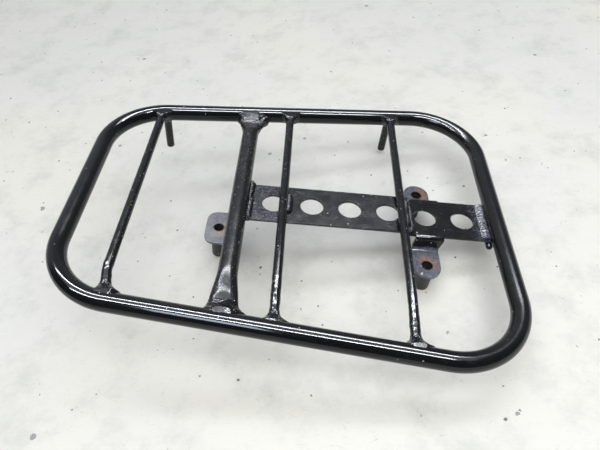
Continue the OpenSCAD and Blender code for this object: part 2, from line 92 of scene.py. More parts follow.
# How each rod's left end comes down to the loop: run, angle, radius and roll toward the rear.
RODS = {
    "front_rod": (24, 16, 25, 26),
    "middle_rod": (72, 10, 400, 0),
    "rear_rod": (72, 10, 400, 0),
}

# Waves in the rods: how close together and how high, all along and near the left end.
ROD_WAVE = (0.11, 0.10)
END_WAVE = (0.31, 0.40)

# How far before the loop's inner face the end waves begin, and the length over which they grow.
END_WAVE_LENGTH = 55
END_WAVE_EASE = 30

# Weld collars at the loop: spread on the loop, length along the bar, squash in height and pitch of ripples.
ROD_LEFT_COLLAR = {"reach": 8.2, "length": 10.5, "squash": 0.95}
ROD_RIGHT_COLLAR = {"reach": 5.6, "length": 7, "squash": 0.9}
CROSS_TUBE_COLLAR = {"reach": 6.5, "length": 11, "squash": 0.8, "pitch": 2.8}

# What all collars share: mesh step, curve and lobes of the spread, thickness at the rim, ripples and lumps.
COLLAR_STEP = 0.3
COLLAR_CURVE = 2.3
COLLAR_LOBES = 0.28
COLLAR_RIM = 0.12
COLLAR_RIPPLE = 0.22
COLLAR_LUMP = 0.6

# Share of the loop tube's radius above which no collar rises.
COLLAR_TOP = 0.94

# How much the ripples of the beads and of the collars bow into crescents.
BEAD_BOW = 0.09
COLLAR_BOW = 0.10

# The other weld beads: height of their ripples and lumps, pitch of the ripples, mesh size and growth.
BEADS = {
    "strap_front_weld": {"ripple": 0.5, "lump": 1.2, "pitch": 2.4},
    "strap_middle_weld": {"ripple": 0.2, "lump": 0.7, "grow": 1.3},
    "strap_rod_weld": {"ripple": 0.25, "lump": 0.8, "grow": 0.3},
    "strap_lap_weld": {"ripple": 0.25, "lump": 1.1, "pitch": 3.1, "voxel": 0.3},
    "bracket_rear_weld": {"ripple": 0.25, "lump": 0.6, "pitch": 2.8},
    "front_tab_weld": {"ripple": 0.2, "lump": 0.5},
    "front_peg_weld": {"ripple": 0.1, "lump": 0.3, "pitch": 2.0, "voxel": 0.3},
    "rear_peg_weld": {"ripple": 0.1, "lump": 0.3, "pitch": 2.0, "voxel": 0.3},
    "cross_pin_weld": {"ripple": 0.15, "lump": 0.3},
}

# Sheet pieces: the solid that each stands for and how far its cut edges are eased.
SHEETS = {
    "strap_sheet": ("perforated_strap", 0.45),
    "rear_bracket_sheet": ("rear_mount_bracket", 0.45),
    "front_tab_sheet": ("front_mount_tab", 0.5),
}

# Angles between faces, in degrees: flat enough to join, a cut edge to ease, and an edge shaded sharp.
FLAT_ANGLE = 1
CUT_EDGE_ANGLE = 40
SHARP_ANGLE = 35

# Area in square millimetres from which a sheet piece's faces are shaded flat.
FLAT_FACE_AREA = 60

# Where the loop's paint turns duller: toward the rear, and at the front end between its bends.
REAR_DULL_START = 118
REAR_DULL_FULL = 160
FRONT_DULL_START = -130
FRONT_DULL_FULL = -170
FRONT_DULL_HALF = 45
FRONT_GLOSS_HALF = 80

# Where worn paint begins and ends: heights over a sheet's lower edge, and lengths from the end of one.
WING_BARE = 5.5
WING_BLACK = 9.5
TAB_BARE = 8
TAB_BLACK = 16
STRAP_BARE = 34
STRAP_BLACK = 62
SPATTER_BEFORE_END = 12
SPATTER_PAST_END = 2

# The photograph's camera, worked out from the loop's edges. Its place is in millimetres.
PHOTO_WIDTH = 600
FOCAL_PIXELS = 531.8
SENSOR_WIDTH = 36
CAMERA_PLACE = (-7.56, -337.18, 335.95)
CAMERA_RIGHT = (0.99604, 0.03785, 0.08041)
CAMERA_DOWN = (0.0824, -0.73224, -0.67605)
CAMERA_FORWARD = (0.03329, 0.68, -0.73246)


def at(x, y, z):
    """Place on the rack in metres, with the height counted from the loop's middle plane."""
    return Vector((x, y, z + MIDDLE_Z)) * MM


def side_y(x):
    """Distance of a side tube's centre line from the middle, at place x along the rack."""
    return LOOP_WIDTH / 2 + math.tan(SIDE_ANGLE) * x


def inner_y(x):
    """Distance from the middle to the loop's inner face, at place x along the rack."""
    return side_y(x) - TUBE_R / math.cos(SIDE_ANGLE)


def ease(t):
    """Smooth rise from 0 to 1 as t goes from 0 to 1."""
    t = min(max(t, 0), 1)
    return t * t * (3 - 2 * t)


# Shader wiring

class Wiring:
    """Adds nodes to one node tree and plugs values or sockets into them."""

    def __init__(self, tree):
        self.tree = tree

    def node(self, kind, inputs=None, **settings):
        made = self.tree.nodes.new(kind)
        for name, value in settings.items():
            setattr(made, name, value)
        for name, value in (inputs or {}).items():
            self.plug(made.inputs[name], value)
        return made

    def plug(self, socket, value):
        if isinstance(value, bpy.types.NodeSocket):
            self.tree.links.new(value, socket)
        else:
            socket.default_value = value

    def sum(self, operation, a, b=0.0, clamp=False):
        made = self.node("ShaderNodeMath", operation=operation, use_clamp=clamp)
        self.plug(made.inputs[0], a)
        self.plug(made.inputs[1], b)
        return made.outputs[0]

    def times(self, a, b):
        return self.sum("MULTIPLY", a, b)

    def vector(self, operation, a, b=(0, 0, 0)):
        made = self.node("ShaderNodeVectorMath", operation=operation)
        self.plug(made.inputs[0], a)
        self.plug(made.inputs[1], b)
        return made.outputs["Value" if operation in ("LENGTH", "DOT_PRODUCT") else "Vector"]

    def fade(self, value, low, high, to_low=0.0, to_high=1.0):
        """Smooth change as value goes from low to high; low may be the larger of the two."""
        made = self.node("ShaderNodeMapRange", {
            "Value": value, "From Min": low, "From Max": high,
            "To Min": to_low, "To Max": to_high}, interpolation_type="SMOOTHSTEP")
        return made.outputs["Result"]

    def clouds(self, vector, scale, detail, roughness=0.5):
        made = self.node("ShaderNodeTexNoise", {
            "Vector": vector, "Scale": scale, "Detail": detail, "Roughness": roughness})
        return made.outputs["Fac"]

    def cells(self, vector, scale, feature="F1"):
        return self.node("ShaderNodeTexVoronoi", {"Vector": vector, "Scale": scale}, feature=feature)

    def blend(self, mask, a, b):
        made = self.node("ShaderNodeMix", data_type="RGBA")
        colour_in = [socket for socket in made.inputs if socket.type == "RGBA"]
        self.plug(made.inputs[0], mask)
        self.plug(colour_in[0], a)
        self.plug(colour_in[1], b)
        return [socket for socket in made.outputs if socket.type == "RGBA"][0]

    def place(self):
        """Position on the rack in millimetres."""
        spot = self.node("ShaderNodeTexCoord").outputs["Object"]
        return self.vector("MULTIPLY", spot, (1000, 1000, 1000))

    def parts(self, vector):
        return self.node("ShaderNodeSeparateXYZ", {"Vector": vector}).outputs

    def facing(self):
        """Direction that the surface faces, split into X, Y and Z."""
        return self.parts(self.node("ShaderNodeNewGeometry").outputs["Normal"])

    def use(self, group, **values):
        made = self.node("ShaderNodeGroup", node_tree=group)
        for name, value in values.items():
            self.plug(made.inputs[name.replace("_", " ")], value)
        return made.outputs

    def bump(self, height, strength, distance):
        made = self.node("ShaderNodeBump", {"Height": height, "Strength": strength, "Distance": distance})
        return made.outputs["Normal"]


def effect(name, numbers, results):
    """Starts a node group; returns its wiring and its input and output sockets."""
    tree = bpy.data.node_groups.new(name, "ShaderNodeTree")
    for label, value in numbers.items():
        socket = tree.interface.new_socket(label, in_out="INPUT", socket_type="NodeSocketFloat")
        socket.default_value = value
    for label in results:
        tree.interface.new_socket(label, in_out="OUTPUT", socket_type="NodeSocketFloat")
    w = Wiring(tree)
    return w, w.node("NodeGroupInput").outputs, w.node("NodeGroupOutput").inputs


def make_chips():
    """Small ragged flakes of missing paint, gathered in patches; on the weld finishes the same pale flakes
    are also painted glints.
    """
    w, given, put = effect("Paint chips", {"Size": 1.0, "Amount": 0.1, "Gathering": 0.5}, ["Mask"])
    spot = w.place()
    wobble = w.node("ShaderNodeTexNoise", {"Vector": spot, "Scale": 1.1, "Detail": 4.0, "Roughness": 0.7})
    ragged = w.vector("ADD", spot, w.vector("MULTIPLY", wobble.outputs["Color"], (2.6, 2.6, 2.6)))
    cell = w.cells(ragged, w.sum("DIVIDE", 0.4, given["Size"]))
    pick = w.node("ShaderNodeSeparateColor", {"Color": cell.outputs["Color"]}).outputs["Red"]
    patch = w.fade(w.clouds(spot, 0.06, 3.0, 0.6), 0.42, 0.66)
    local = w.sum("ADD", w.times(patch, given["Gathering"]), w.sum("SUBTRACT", 1.0, given["Gathering"]))
    limit = w.sum("SUBTRACT", 1.0, w.times(given["Amount"], local))
    chosen = w.sum("GREATER_THAN", pick, limit)
    reach = w.node("ShaderNodeMapRange", {"Value": w.parts(cell.outputs["Color"])["Y"],
                                          "To Min": 0.08, "To Max": 0.36}).outputs["Result"]
    w.plug(put["Mask"], w.times(chosen, w.sum("LESS_THAN", cell.outputs["Distance"], reach)))
    return w.tree


def make_dust():
    """Dust that settles on what faces up, in soft uneven patches."""
    w, given, put = effect("Settled dust", {"Amount": 0.4, "Patch size": 30.0}, ["Mask"])
    spot = w.place()
    lying = w.fade(w.facing()["Z"], 0.1, 1.0)
    patches = w.fade(w.clouds(spot, w.sum("DIVIDE", 1.0, given["Patch size"]), 6.0, 0.62), 0.3, 0.75)
    grains = w.fade(w.clouds(spot, 1.3, 4.0, 0.75), 0.35, 0.7, 0.25, 1.0)
    amount = w.times(w.times(lying, patches), w.times(grains, given["Amount"]))
    w.plug(put["Mask"], w.sum("MINIMUM", amount, 1.0))
    return w.tree


def make_scratches():
    """Fine broken scratches in a few directions."""
    w, given, put = effect("Hairline scratches", {"Amount": 0.4, "Width": 0.03}, ["Mask"])
    spot = w.place()
    total = 0.0
    for turn, seed in ((0.3, 3.0), (1.25, 11.0), (2.4, 29.0)):
        turned = w.node("ShaderNodeMapping", {
            "Vector": spot, "Location": (seed, seed * 1.7, seed * 0.4),
            "Rotation": (turn * 0.7, turn * 0.4, turn), "Scale": (0.03, 0.35, 0.35)}).outputs["Vector"]
        cell = w.cells(turned, 1.0, feature="DISTANCE_TO_EDGE")
        line = w.fade(cell.outputs["Distance"], given["Width"], 0.0)
        broken = w.fade(w.clouds(spot, 0.08 + turn * 0.02, 4.0, 0.6), 0.52, 0.62)
        total = w.sum("ADD", total, w.times(line, broken))
    w.plug(put["Mask"], w.sum("MULTIPLY", total, given["Amount"], clamp=True))
    return w.tree


def make_sprayed_paint():
    """Slow waviness and fine grain of sprayed paint, as a height."""
    w, given, put = effect("Sprayed paint", {"Wave": 1.0, "Grain": 1.0}, ["Height"])
    spot = w.place()
    wave = w.times(w.clouds(spot, 0.14, 2.0), given["Wave"])
    grain = w.times(w.clouds(spot, 1.4, 3.0, 0.6), w.times(given["Grain"], 0.16))
    w.plug(put["Height"], w.sum("ADD", wave, grain))
    return w.tree


def make_hole_rust():
    """Rust that spreads round a bolt hole, stronger toward one side, and a thin dark ring at the hole's
    edge.
    """
    w, given, put = effect("Rust round a hole", {
        "Hole x": 0.0, "Hole y": 0.0, "Inner": 4.5, "Outer": 11.0,
        "Toward x": 1.0, "Toward y": 0.0, "Amount": 1.0}, ["Mask", "Rim"])
    spot = w.place()
    flat = w.vector("MULTIPLY", spot, (1, 1, 0))
    hole = w.node("ShaderNodeCombineXYZ", {"X": given["Hole x"], "Y": given["Hole y"]}).outputs["Vector"]
    away = w.vector("SUBTRACT", flat, hole)
    reach = w.vector("LENGTH", away)
    side = w.node("ShaderNodeCombineXYZ", {"X": given["Toward x"], "Y": given["Toward y"]}).outputs["Vector"]
    lean = w.sum("DIVIDE", w.vector("DOT_PRODUCT", away, side), w.sum("ADD", reach, 0.01))
    ragged = w.times(w.sum("SUBTRACT", w.clouds(spot, 0.32, 5.0, 0.65), 0.5), 8.0)
    edge = w.sum("ADD", reach, ragged)
    band = w.fade(edge, given["Outer"], w.sum("SUBTRACT", given["Outer"], 4.5))
    one_side = w.times(band, w.fade(lean, -0.5, 0.7))
    w.plug(put["Mask"], w.sum("MULTIPLY", one_side, given["Amount"], clamp=True))
    w.plug(put["Rim"], w.fade(w.sum("ADD", reach, w.times(ragged, 0.15)),
                              w.sum("ADD", given["Inner"], 1.3), w.sum("ADD", given["Inner"], 0.2)))
    return w.tree


chips = make_chips()
dust = make_dust()
scratches = make_scratches()
sprayed_paint = make_sprayed_paint()
hole_rust = make_hole_rust()


# Finishes

PAINT_SHINE = 0.4
BARE_STEEL_AND_GLINT = (0.62, 0.62, 0.64, 1)
DUST_GREY = (0.15, 0.15, 0.145, 1)
SCRATCH_GREY = (0.13, 0.13, 0.14, 1)
RUST_ORANGE = (0.42, 0.23, 0.13, 1)
RUST_BROWN = (0.11, 0.045, 0.03, 1)
STEEL_BLUE = (0.16, 0.17, 0.215, 1)
STEEL_BLUE_DARK = (0.075, 0.08, 0.11, 1)
STEEL_TAN = (0.30, 0.28, 0.25, 1)
TAB_GREY = (0.20, 0.205, 0.25, 1)
TAB_GREY_DARK = (0.10, 0.105, 0.14, 1)
TAB_RUST = (0.36, 0.22, 0.13, 1)
HOLE_RIM = (0.02, 0.015, 0.014, 1)
TAB_HOLE_RIM = (0.02, 0.018, 0.018, 1)
MOTTLE_PALE = (0.34, 0.35, 0.41, 1)
MOTTLE_DARK = (0.045, 0.05, 0.075, 1)
SPATTER_BLUE = (0.17, 0.18, 0.24, 1)
TAIL_BLUE = (0.12, 0.13, 0.18, 1)
LAP_GREY = (0.13, 0.135, 0.155, 1)
FLOOR_COOL = (0.78, 0.785, 0.765, 1)
FLOOR_WARM = (0.82, 0.815, 0.76, 1)
FLOOR_SMUDGE = (0.60, 0.61, 0.57, 1)
FLOOR_STAIN = (0.40, 0.41, 0.39, 1)
FLOOR_SCRATCH = (0.42, 0.42, 0.41, 1)
FLOOR_SPECK = (0.16, 0.155, 0.15, 1)
FLOOR_CHIP = (0.33, 0.33, 0.32, 1)


def start_material(name):
    """New material with its wiring and its Principled BSDF."""
    material = bpy.data.materials.new(name)
    material.use_nodes = True
    material.node_tree.nodes.clear()
    w = Wiring(material.node_tree)
    shader = w.node("ShaderNodeBsdfPrincipled")
    w.plug(w.node("ShaderNodeOutputMaterial").inputs["Surface"], shader.outputs["BSDF"])
    return material, w, shader


def end_tubes(w, spot):
    """Mask of the rear end tube with its bends, and of the straight part of the front end tube."""
    place = w.parts(spot)
    off_middle = w.sum("ABSOLUTE", place["Y"])
    rear = w.fade(place["X"], REAR_DULL_START, REAR_DULL_FULL)
    front = w.times(w.fade(place["X"], FRONT_DULL_START, FRONT_DULL_FULL),
                    w.fade(off_middle, FRONT_GLOSS_HALF, FRONT_DULL_HALF))
    return w.sum("MAXIMUM", rear, front)


def black_paint(name, colour, rough, dusty=0.1, chip_and_glint_amount=0.03, chip_and_glint_size=0.6, scratched=0.2,
                wave=0.4, grain=1.0, worn=None, dull_ends=0.0):
    """Black paint with dust, chips and scratches, the pale chips on the weld finishes also standing for
    painted glints; worn(w, spot, paint) may repaint parts of it.

    dull_ends is how much rougher the paint is on the rack's two end tubes."""
    material, w, shader = start_material(name)
    spot = w.place()
    paint = w.blend(w.clouds(spot, 0.03, 4.0, 0.6), colour, tuple(v * 1.9 for v in colour[:3]) + (1,))
    if worn:
        paint = worn(w, spot, paint)
    dust_mask = w.use(dust, Amount=dusty)["Mask"]
    scratch_mask = w.use(scratches, Amount=scratched)["Mask"]
    chip_and_glint_mask = w.use(chips, Amount=chip_and_glint_amount, Size=chip_and_glint_size)["Mask"]
    paint = w.blend(dust_mask, paint, DUST_GREY)
    paint = w.blend(scratch_mask, paint, SCRATCH_GREY)
    # Pale flakes of bare steel; on the weld finishes these flakes are also painted glints.
    paint = w.blend(chip_and_glint_mask, paint, BARE_STEEL_AND_GLINT)
    w.plug(shader.inputs["Base Color"], paint)
    gloss = w.fade(w.clouds(spot, 0.1, 5.0, 0.6), 0.3, 0.7, rough * 0.85, rough * 1.2)
    gloss = w.sum("ADD", gloss, w.times(dust_mask, 0.5))
    gloss = w.sum("ADD", gloss, w.times(scratch_mask, 0.3))
    if dull_ends:
        gloss = w.sum("ADD", gloss, w.times(end_tubes(w, spot), dull_ends))
    w.plug(shader.inputs["Roughness"], w.sum("ADD", gloss, w.times(chip_and_glint_mask, 0.25), clamp=True))
    height = w.use(sprayed_paint, Wave=wave, Grain=grain)["Height"]
    w.plug(shader.inputs["Normal"], w.bump(w.sum("SUBTRACT", height, w.times(chip_and_glint_mask, 0.5)), 0.3, 0.0002))
    shader.inputs["Specular IOR Level"].default_value = PAINT_SHINE
    return material


def strap_wear(w, spot, paint):
    """Blue-grey mottling on the strap's front end."""
    front_end = box_mm("perforated_strap")[0].x
    edge = w.sum("ADD", w.parts(spot)["X"], w.times(w.clouds(spot, 0.12, 5.0, 0.65), 34))
    bare = w.fade(edge, front_end + STRAP_BLACK, front_end + STRAP_BARE)
    mottle = w.fade(w.clouds(spot, 0.45, 6.0, 0.75), 0.44, 0.60, 0.10, 0.95)
    pale = w.fade(w.clouds(spot, 0.8, 5.0, 0.8), 0.52, 0.64)
    grey = w.blend(pale, MOTTLE_DARK, MOTTLE_PALE)
    return w.blend(w.times(bare, mottle), paint, grey)


def wing_wear(w, spot, paint):
    """Worn blue-grey tabs with rust round the holes, under a black plate with a spattered rear end."""
    place = w.parts(spot)
    low, high = box_mm("rear_mount_bracket")
    hole = middle_mm("rear_spacer_right")
    edge = w.sum("ADD", place["Z"], w.times(w.clouds(spot, 0.25, 4.0, 0.6), 5))
    tab = w.fade(edge, low.z + WING_BLACK, low.z + WING_BARE)
    mottle = w.fade(w.clouds(spot, 0.3, 6.0, 0.7), 0.3, 0.7)
    steel = w.blend(mottle, STEEL_BLUE_DARK, STEEL_BLUE)
    left = w.use(hole_rust, Hole_x=hole.x, Hole_y=-hole.y, Outer=12.0, Toward_x=0.55, Toward_y=0.8)
    right = w.use(hole_rust, Hole_x=hole.x, Hole_y=hole.y, Outer=12.0, Toward_x=1.0, Toward_y=-0.1)
    rust = w.sum("MAXIMUM", left["Mask"], right["Mask"])
    grain = w.fade(w.clouds(spot, 0.9, 5.0, 0.75), 0.35, 0.65)
    steel = w.blend(w.times(rust, 0.75), steel, w.blend(grain, RUST_BROWN, RUST_ORANGE))
    steel = w.blend(w.sum("MAXIMUM", left["Rim"], right["Rim"]), steel, HOLE_RIM)
    edge = w.sum("ADD", place["X"], w.times(w.clouds(spot, 0.2, 4.0, 0.7), 16))
    spatter = w.fade(edge, high.x - SPATTER_BEFORE_END, high.x + SPATTER_PAST_END)
    speckle = w.fade(w.clouds(spot, 0.6, 6.0, 0.8), 0.47, 0.60)
    paint = w.blend(w.times(spatter, speckle), paint, SPATTER_BLUE)
    return w.blend(tab, paint, steel)


def tab_wear(w, spot, paint):
    """Worn blue-grey front tab, paler and tan round its hole."""
    low = box_mm("front_mount_tab")[0]
    hole_x = middle_mm("front_spacer").x
    edge = w.sum("ADD", w.parts(spot)["Z"], w.times(w.clouds(spot, 0.2, 4.0, 0.6), 8))
    tab = w.fade(edge, low.z + TAB_BLACK, low.z + TAB_BARE)
    mottle = w.fade(w.clouds(spot, 0.22, 6.0, 0.7), 0.3, 0.68)
    steel = w.blend(mottle, TAB_GREY_DARK, TAB_GREY)
    ring = w.use(hole_rust, Hole_x=hole_x, Hole_y=0.0, Outer=15.0, Toward_x=0.3, Toward_y=-0.3)
    tan = w.use(hole_rust, Hole_x=hole_x, Hole_y=0.0, Outer=11.0, Toward_x=0.8, Toward_y=-0.6, Amount=0.6)
    steel = w.blend(w.times(ring["Mask"], 0.7), steel, STEEL_TAN)
    steel = w.blend(tan["Mask"], steel, TAB_RUST)
    steel = w.blend(ring["Rim"], steel, TAB_HOLE_RIM)
    return w.blend(tab, paint, steel)


def tail_wear(w, spot, paint):
    """Blue-grey spatter on the weld of the rear bracket."""
    mottle = w.fade(w.clouds(spot, 0.5, 6.0, 0.75), 0.4, 0.65)
    return w.blend(mottle, paint, TAIL_BLUE)


def lap_wear(w, spot, paint):
    """Pale ragged crest along the strap's lapped end."""
    crest = w.fade(w.facing()["Z"], 0.35, 0.9)
    ragged = w.fade(w.clouds(spot, 0.7, 5.0, 0.75), 0.48, 0.62)
    return w.blend(w.times(crest, ragged), paint, LAP_GREY)


gloss_black = black_paint("Gloss black paint", (0.0030, 0.0032, 0.0042, 1), 0.085,
                          dusty=0.02, chip_and_glint_amount=0.015, scratched=0.06, wave=0.08, grain=0.03, dull_ends=0.09)
pressed_black = black_paint("Black paint on pressed tube", (0.0030, 0.0032, 0.0044, 1), 0.25,
                            dusty=0.015, chip_and_glint_amount=0.09, chip_and_glint_size=0.35, scratched=0.12, wave=0.9, grain=1.0)
rod_black = black_paint("Chipped black rod paint", (0.0032, 0.0034, 0.0046, 1), 0.17,
                        dusty=0.015, chip_and_glint_amount=0.09, chip_and_glint_size=0.45, scratched=0.15, wave=1.1, grain=1.0)
strap_black = black_paint("Semi-matt strap paint", (0.0045, 0.0045, 0.0055, 1), 0.23,
                          dusty=0.03, chip_and_glint_amount=0.04, scratched=0.22, wave=0.8, grain=0.6, worn=strap_wear)
# Gloss paint over welds; its pale chips are partly real chips and partly painted silver glints on the beads.
weld_black = black_paint("Gloss black over weld", (0.0035, 0.0037, 0.0050, 1), 0.15,
                         dusty=0.01, chip_and_glint_amount=0.04, chip_and_glint_size=0.5, scratched=0.03, wave=0.4, grain=0.4)
# Dull paint over welds; its many small pale chips are painted glints on the beads.
dull_weld_black_painted_glints = black_paint("Dull black over weld with painted glints", (0.0030, 0.0032, 0.0042, 1), 0.30,
                              dusty=0.01, chip_and_glint_amount=0.14, chip_and_glint_size=0.4, scratched=0.05, wave=0.5, grain=0.8)
tail_paint = black_paint("Spattered tail weld", (0.012, 0.012, 0.015, 1), 0.25,
                         dusty=0.05, chip_and_glint_amount=0.3, scratched=0.2, worn=tail_wear)
lap_paint = black_paint("Pale ragged lap weld", (0.006, 0.006, 0.008, 1), 0.34,
                        dusty=0.05, chip_and_glint_amount=0.12, scratched=0.2, worn=lap_wear)
spacer_dark = black_paint("Dull dark spacer", (0.026, 0.022, 0.020, 1), 0.42,
                          dusty=0.2, chip_and_glint_amount=0.05, scratched=0.4)
wing_paint = black_paint("Worn rear bracket", (0.0035, 0.0035, 0.0045, 1), 0.15,
                         dusty=0.01, chip_and_glint_amount=0.03, scratched=0.14, worn=wing_wear)
tab_paint = black_paint("Worn front tab", (0.008, 0.008, 0.010, 1), 0.30,
                        dusty=0.05, chip_and_glint_amount=0.01, scratched=0.5, worn=tab_wear)

FINISHES = {
    "outer_loop": gloss_black,
    "cross_tube": pressed_black,
    "perforated_strap": strap_black,
    "rear_mount_bracket": wing_paint,
    "front_mount_tab": tab_paint,
    "bracket_rear_weld": tail_paint,
    "strap_lap_weld": lap_paint,
    "strap_front_weld": dull_weld_black_painted_glints,
    "strap_middle_weld": dull_weld_black_painted_glints,
    "strap_rod_weld": dull_weld_black_painted_glints,
    "cross_tube_weld_right": dull_weld_black_painted_glints,
}


def finish_of(node):
    """A solid's own finish, or else that of its kind."""
    if node in FINISHES:
        return FINISHES[node]
    if "weld" in node:
        return weld_black
    if "spacer" in node:
        return spacer_dark
    return rod_black


for node_name, solid in NODES.items():
    solid.data.materials.clear()
    solid.data.materials.append(finish_of(node_name))


# Pieces

def put_piece(name, mesh, node, sharp=None):
    """Links a mesh as the piece that stands for a solid, with that solid's finish."""
    mesh.materials.clear()
    mesh.materials.append(finish_of(node))
    mesh.shade_smooth()
    if sharp:
        mesh.set_sharp_from_angle(angle=math.radians(sharp))
    piece = bpy.data.objects.new(name, mesh)
    bpy.context.scene.collection.objects.link(piece)
    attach(piece, "root")
    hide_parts(node)


def skin(name, rings, closed):
    """Mesh through rings of points; the last ring meets the first, or both ends are capped."""
    sides = len(rings[0])
    points = [point for ring in rings for point in ring]
    spans = len(rings) if closed else len(rings) - 1
    faces = []
    for i in range(spans):
        low = i * sides
        high = (i + 1) % len(rings) * sides
        for k in range(sides):
            after = (k + 1) % sides
            faces.append((low + k, low + after, high + after, high + k))
    if not closed:
        faces.append(tuple(range(sides - 1, -1, -1)))
        faces.append(tuple(range(len(points) - sides, len(points))))
    mesh = bpy.data.meshes.new(name)
    mesh.from_pydata([tuple(point) for point in points], [], faces)
    return mesh


def loop_path(step):
    """Points along the loop's centre line and the outward direction at each, anticlockwise from the rear."""
    front = Vector((-LOOP_LENGTH / 2 + BEND_R, 0))
    rear = Vector((LOOP_LENGTH / 2 - BEND_R, 0))
    front.y = side_y(front.x) - BEND_R / math.cos(SIDE_ANGLE)
    rear.y = side_y(rear.x) - BEND_R / math.cos(SIDE_ANGLE)
    quarter = math.pi / 2
    corners = [
        (rear, 0, quarter + SIDE_ANGLE),
        (front, quarter + SIDE_ANGLE, 2 * quarter),
        (Vector((front.x, -front.y)), 2 * quarter, 3 * quarter - SIDE_ANGLE),
        (Vector((rear.x, -rear.y)), 3 * quarter - SIDE_ANGLE, 4 * quarter),
    ]
    path = []
    for corner, (middle, turn_from, turn_to) in enumerate(corners):
        count = round((turn_to - turn_from) * BEND_R / step)
        for i in range(count + 1):
            turn = turn_from + (turn_to - turn_from) * i / count
            outward = Vector((math.cos(turn), math.sin(turn)))
            path.append((middle + outward * BEND_R, outward))
        next_middle = corners[(corner + 1) % 4][0]
        start = middle + outward * BEND_R
        end = next_middle + outward * BEND_R
        count = round((end - start).length / step)
        path += [(start.lerp(end, i / count), outward) for i in range(1, count)]
    return path


def make_loop():
    """The bent loop tube, smooth through its four bends."""
    sides = 56
    rings = []
    for middle, outward in loop_path(step=3.5):
        ring = []
        for k in range(sides):
            turn = 2 * math.pi * k / sides
            flat = middle + outward * (TUBE_R - LOOP_EASE) * math.cos(turn)
            ring.append(at(flat.x, flat.y, TUBE_R * math.sin(turn)))
        rings.append(ring)
    mesh = skin("loop_tube", rings, True)
    mesh.flip_normals()
    put_piece("loop_tube", mesh, "outer_loop")


def make_cross_tube():
    """The thick cross tube with both ends pressed flat and a little dented."""
    sides = 64
    inner = inner_y(CROSS_X)
    end = side_y(CROSS_X) - END_GAP
    stations = [-end + i for i in range(round(2 * end) + 1)]
    rings = []
    for y in stations:
        length = FLARE_LEFT if y < 0 else FLARE_RIGHT
        pressed = ease((abs(y) - inner + length) / (length - FLAT_LEN))
        power = 2 / (2 - PRESSED_CROWN * pressed)
        half_w = TUBE_R + (FLARE_W / 2 - TUBE_R - FLARE_EASE) * pressed
        half_h = TUBE_R + (FLARE_H / 2 - TUBE_R - FLARE_EASE) * pressed
        ring = []
        for k in range(sides):
            turn = 2 * math.pi * k / sides
            c, s = math.cos(turn), math.sin(turn)
            across = math.copysign(abs(c) ** power, c) * half_w
            high = math.copysign(abs(s) ** power, s) * half_h
            dent = noise.noise(Vector((across * 0.20, y * 0.13, 3))) * 0.8 * pressed * max(s, 0)
            ring.append(at(CROSS_X + across, y, high - FLARE_DROP * pressed + dent))
        rings.append(ring)
    mesh = skin("pressed_cross_tube", rings, False)
    mesh.flip_normals()
    put_piece("pressed_cross_tube", mesh, "cross_tube")


def joined_copy(node):
    """A solid's mesh with its split corners joined again."""
    shape = bmesh.new()
    shape.from_mesh(NODES[node].data)
    bmesh.ops.remove_doubles(shape, verts=shape.verts, dist=0.01 * MM)
    return shape


def eased_sheet(name, node, width):
    """Sheet metal with its cut edges eased; its large faces are shaded flat, its folds smooth."""
    shape = joined_copy(node)
    bmesh.ops.dissolve_limit(shape, angle_limit=math.radians(FLAT_ANGLE),
                             verts=shape.verts, edges=shape.edges)
    corners = [edge for edge in shape.edges
               if len(edge.link_faces) == 2 and edge.calc_face_angle() > math.radians(CUT_EDGE_ANGLE)]
    bmesh.ops.bevel(shape, geom=corners, offset=width * MM, segments=3, profile=0.5,
                    affect="EDGES", clamp_overlap=True)
    mesh = bpy.data.meshes.new(name)
    shape.to_mesh(mesh)
    shape.free()
    put_piece(name, mesh, node, sharp=SHARP_ANGLE)
    for polygon in mesh.polygons:
        polygon.use_smooth = polygon.area < FLAT_FACE_AREA * MM * MM


def remeshed(node, voxel):
    """A solid's mesh rebuilt from small even faces."""
    shape = joined_copy(node)
    rough = bpy.data.meshes.new(node + "_rough")
    shape.to_mesh(rough)
    shape.free()
    holder = bpy.data.objects.new(node + "_rough", rough)
    bpy.context.scene.collection.objects.link(holder)
    remesh = holder.modifiers.new("even", "REMESH")
    remesh.mode = "VOXEL"
    remesh.voxel_size = voxel * MM
    smooth = holder.modifiers.new("soft", "SMOOTH")
    smooth.factor = 0.6
    smooth.iterations = 5
    view = bpy.context.evaluated_depsgraph_get()
    mesh = bpy.data.meshes.new_from_object(holder.evaluated_get(view))
    bpy.data.objects.remove(holder)
    bpy.data.meshes.remove(rough)
    return mesh


def weld_piece(node, ripple, lump, pitch=2.3, voxel=0.4, grow=0.0):
    """Weld bead laid across the rack, with crescent ripples and lumps."""
    mesh = remeshed(node, voxel)
    middle = middle_mm(node)
    normals = [vertex.normal.copy() for vertex in mesh.vertices]
    for vertex, normal in zip(mesh.vertices, normals):
        spot = vertex.co / MM
        off = spot - middle
        wander = noise.noise(spot * 0.21) * 1.3
        wave = math.cos(2 * math.pi * (off.y + BEAD_BOW * off.x * off.x + wander) / pitch)
        swell = noise.noise(spot * 0.16 + Vector((7, 1, 3))) + 0.5 * noise.noise(spot * 0.42)
        vertex.co += normal * (grow + ripple * wave + lump * swell) * MM
    put_piece(node + "_bead", mesh, node)


def rod_x(rod):
    """Place of a rod's straight part along the rack."""
    return box_mm(rod)[0].x + ROD_R


def rod_frame(rod):
    """Place and downward direction of a rod's bent left end where it reaches the loop's inner face."""
    run, angle, radius, roll = RODS[rod]
    turn = math.radians(angle)
    x = rod_x(rod)
    tip = Vector((0, -radius * math.sin(turn), -radius * (1 - math.cos(turn))))
    way = Vector((0, -math.cos(turn), -math.sin(turn)))
    straight = (run - radius * math.sin(turn)) / math.cos(turn)
    rolled = Matrix.Rotation(-math.radians(roll), 3, "Y")
    start = Vector((x, run - inner_y(x), ROD_Z))
    return start, rolled, tip, way, straight


